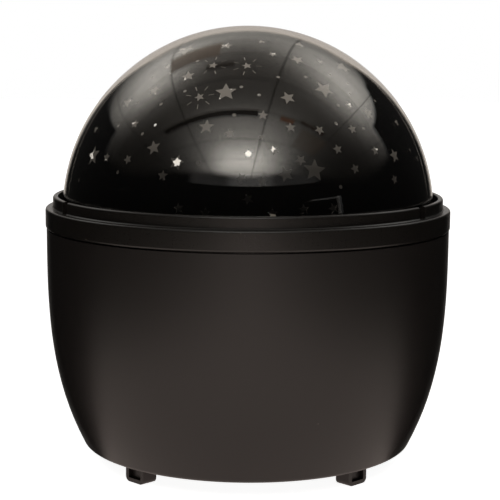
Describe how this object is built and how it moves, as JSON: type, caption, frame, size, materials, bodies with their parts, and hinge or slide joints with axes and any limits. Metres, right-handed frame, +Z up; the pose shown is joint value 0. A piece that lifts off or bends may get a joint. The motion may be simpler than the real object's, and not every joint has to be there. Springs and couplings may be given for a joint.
{
  "type": "star projector night light",
  "caption": "Tabletop star projector: dark bowl base on feet, two-tier ring, and a motor-turned clear dome over a black star mask lit from inside.",
  "frame": {"origin": "centre of the plane the four feet stand on", "axes": "+Z up through the dome's centre; the front faces -Y, the buttons and inlet face +Y; +X is to the right seen from the front"},
  "size_m": [0.13, 0.13, 0.1401],
  "materials": {
    "housing": "fine spark texture",
    "ring": "satin moulded",
    "screws": "zinc plated",
    "clear_dome": "polished clear",
    "mask": "gloss black film",
    "gears": "acetal, moulded",
    "lamp_board": "white solder mask",
    "lamps": "clear epoxy",
    "motor_can": "plated",
    "circuit_board": "green solder mask",
    "black_plastic": "moulded",
    "buttons": "satin moulded",
    "cells": "printed sleeve, plain",
    "contacts": "nickel plated",
    "red_lead": "PVC sleeve",
    "black_lead": "PVC sleeve"
  },
  "bodies": {
    "housing": {"base_housing": "housing", "top_ring": "ring", "deck_plate": "black_plastic", "deck_screws": "screws", "lamp_post": "black_plastic", "lamp_board": "lamp_board", "dome_lamps": "lamps", "gearbox": "gears", "motor": "motor_can", "motor_screws": "screws", "control_board": "circuit_board", "tact_switches": "black_plastic", "power_inlet": "black_plastic", "battery_cells": "cells", "contact_plates": "contacts", "contact_springs": "contacts", "lamp_leads": "red_lead", "motor_leads": "black_lead", "battery_leads": "red_lead", "inlet_leads": "black_lead"},
    "dome": {"dome_shell": "clear_dome", "star_mask": "mask", "turntable_ring": "black_plastic"},
    "pinion": {"drive_pinion": "gears"},
    "light_button": {"light_button": "buttons"},
    "colour_button": {"colour_button": "buttons"},
    "spin_button": {"spin_button": "buttons"},
    "battery_door": {"battery_door": "housing"}
  },
  "joints": [
    {"name": "dome_spin", "type": "hinge", "parent": "housing", "child": "dome", "pos_m": [0, 0, 0.073], "axis": [0, 0, 1], "continuous": true},
    {"name": "pinion_spin", "type": "hinge", "parent": "housing", "child": "pinion", "pos_m": [0.045, 0, 0.073], "axis": [0, 0, 1], "continuous": true},
    {"name": "light_press", "type": "slide", "parent": "housing", "child": "light_button", "axis": [0, -1, 0], "range_m": [0, 0.0007], "stiffness_N_per_m": 900, "springref_m": -0.0006},
    {"name": "colour_press", "type": "slide", "parent": "housing", "child": "colour_button", "axis": [0, -1, 0], "range_m": [0, 0.0007], "stiffness_N_per_m": 900, "springref_m": -0.0006},
    {"name": "spin_press", "type": "slide", "parent": "housing", "child": "spin_button", "axis": [0, -1, 0], "range_m": [0, 0.0007], "stiffness_N_per_m": 900, "springref_m": -0.0006},
    {"name": "battery_door_open", "type": "hinge", "parent": "housing", "child": "battery_door", "pos_m": [-0.0274, 0, 0.0056], "axis": [0, 1, 0], "range_deg": [0, 75]}
  ],
  "couplings": [
    {"joint": "pinion_spin", "follows": "dome_spin", "ratio": 7}
  ]
}
